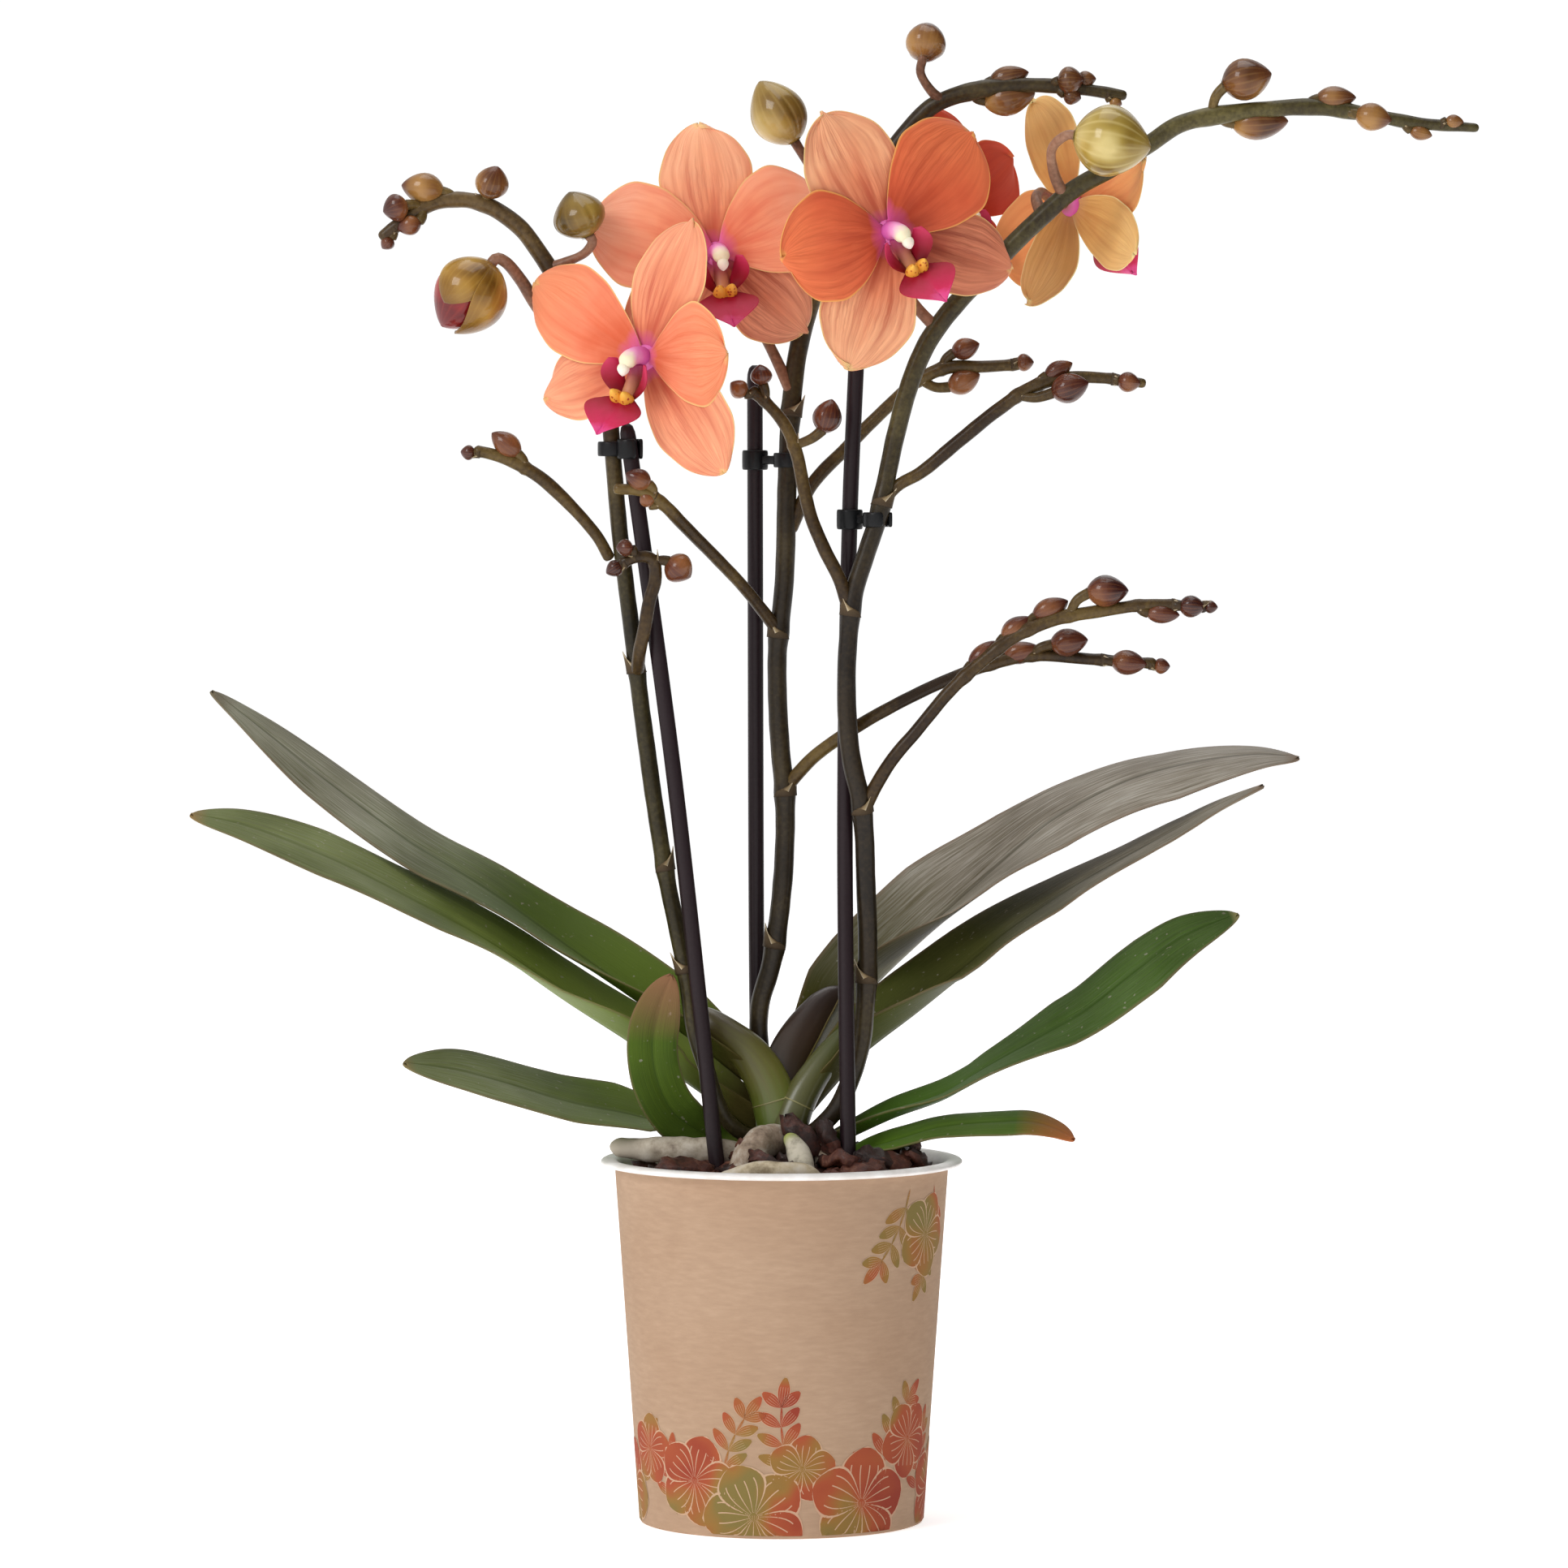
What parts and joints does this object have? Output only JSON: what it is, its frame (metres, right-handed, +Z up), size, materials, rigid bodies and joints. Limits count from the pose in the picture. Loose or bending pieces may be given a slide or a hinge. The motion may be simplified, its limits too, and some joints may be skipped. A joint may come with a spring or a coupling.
{
  "type": "potted moth orchid",
  "caption": "Moth orchid with salmon blooms, buds on branched stems held by sticks and clips, arching leaves and thick roots, in a printed paper pot of bark.",
  "frame": {"origin": "middle of the pot's flat underside, on the pot's turning axis", "axes": "+X to the right and +Y to the back as seen in the picture, +Z up along the pot's turning axis"},
  "size_m": [0.3463, 0.0988, 0.4061],
  "materials": {
    "kraft_paper": "matt printed brown paper with a white rolled rim",
    "pot_card": "matt white card",
    "pot_plastic": "thin clear-grey plastic",
    "bark": "rough broken bark chips",
    "crown": "smooth green leaf bases",
    "root": "matt silver-grey root skin",
    "leaf": "smooth leathery leaf with a soft sheen",
    "stem": "smooth speckled stem",
    "bud": "smooth waxy bud",
    "stick": "smooth dark plastic",
    "clip": "smooth black plastic",
    "petal_salmon": "soft matt petal with fine veins",
    "petal_red": "soft matt petal with fine veins",
    "petal_yellow": "soft matt petal, seen from behind",
    "column": "waxy pale column",
    "lip": "smooth crimson lip with a yellow callus"
  },
  "bodies": {
    "root": {"pot_wall": "kraft_paper", "pot_floor": "pot_card", "grow_pot": "pot_plastic", "bark": "bark", "crown": "crown", "root_left": "root", "root_middle": "root", "root_green": "root", "root_front": "root", "root_right": "root", "leaf_left_upper": "leaf", "leaf_left_lower": "leaf", "leaf_left_small": "leaf", "leaf_left_short": "leaf", "leaf_right_upper": "leaf", "leaf_right_middle": "leaf", "leaf_right_lower": "leaf", "leaf_right_short": "leaf", "spike_left": "stem", "spike_middle": "stem", "spike_right": "stem", "bud_opening": "bud", "bud_left": "bud", "bud_middle": "bud", "bud_right": "bud", "stake_left": "stick", "clip_left": "clip", "stake_middle": "stick", "clip_middle": "clip", "stake_right": "stick", "clip_right": "clip", "bloom_left_tepals": "petal_salmon", "bloom_back_tepals": "petal_salmon", "bloom_front_tepals": "petal_red", "bloom_hidden_tepals": "petal_red", "bloom_right_tepals": "petal_yellow", "bloom_left_column": "column", "bloom_left_lip": "lip", "bloom_back_column": "column", "bloom_back_lip": "lip", "bloom_front_column": "column", "bloom_front_lip": "lip", "bloom_hidden_column": "column", "bloom_hidden_lip": "lip", "bloom_right_column": "column", "bloom_right_lip": "lip"}
  },
  "joints": []
}
